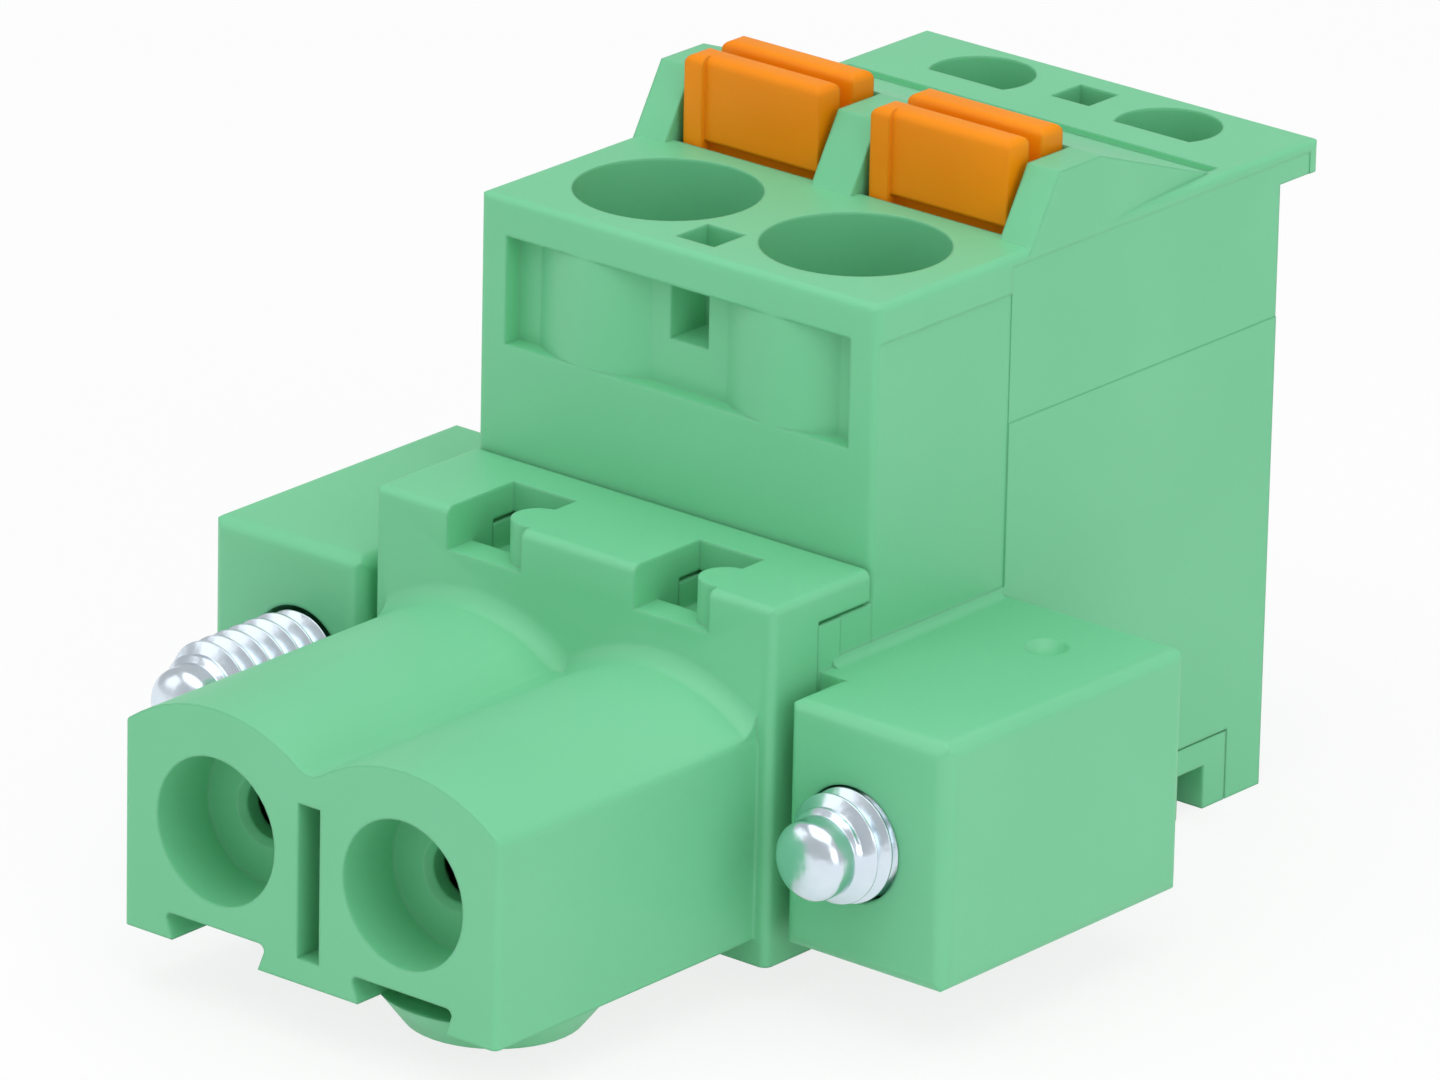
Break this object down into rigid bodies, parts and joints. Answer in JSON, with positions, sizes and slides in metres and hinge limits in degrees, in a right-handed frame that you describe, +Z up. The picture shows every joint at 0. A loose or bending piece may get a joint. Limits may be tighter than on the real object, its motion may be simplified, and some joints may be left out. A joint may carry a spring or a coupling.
{
  "type": "pluggable terminal block",
  "caption": "Push-in pluggable terminal block: a plug nose with round sockets in front, conductor funnels and release buttons on top, a screw flange on each side.",
  "frame": {"origin": "middle of the part's length and width, on the plane it stands on", "axes": "+X along the row of poles, +Y from the plug face towards the rear lip, +Z up along the conductor funnels"},
  "size_m": [0.02, 0.0262, 0.0163],
  "materials": {
    "green_housing": "satin moulded polyamide",
    "orange_button": "satin moulded polyamide",
    "spring_steel": "rolled spring strip",
    "contact_metal": "tarnished copper alloy",
    "zinc_screw": "blue-white zinc plating"
  },
  "bodies": {
    "housing": {"main_housing": "green_housing", "plug_housing": "green_housing", "base_cover": "green_housing", "clamp_spring_left": "spring_steel", "clamp_spring_right": "spring_steel", "current_bar_left": "contact_metal", "current_bar_right": "contact_metal", "socket_contact_left": "contact_metal", "socket_contact_right": "contact_metal", "over_spring_left": "spring_steel", "over_spring_right": "spring_steel"},
    "button_left": {"button_left": "orange_button"},
    "button_right": {"button_right": "orange_button"},
    "screw_left": {"flange_screw_left": "zinc_screw"},
    "screw_right": {"flange_screw_right": "zinc_screw"}
  },
  "joints": [
    {"name": "button_left_press", "type": "slide", "parent": "housing", "child": "button_left", "axis": [0, 0, -1], "range_m": [0, 0.0012], "stiffness_N_per_m": 800, "springref_m": -0.0005, "deforming": ["clamp_spring_left"]},
    {"name": "button_right_press", "type": "slide", "parent": "housing", "child": "button_right", "axis": [0, 0, -1], "range_m": [0, 0.0012], "stiffness_N_per_m": 800, "springref_m": -0.0005, "deforming": ["clamp_spring_right"]},
    {"name": "screw_left_turn", "type": "hinge", "parent": "housing", "child": "screw_left", "pos_m": [-0.00755, 0, 0.00413], "axis": [0, 1, 0], "continuous": true},
    {"name": "screw_right_turn", "type": "hinge", "parent": "housing", "child": "screw_right", "pos_m": [0.00755, 0, 0.00413], "axis": [0, 1, 0], "continuous": true}
  ]
}
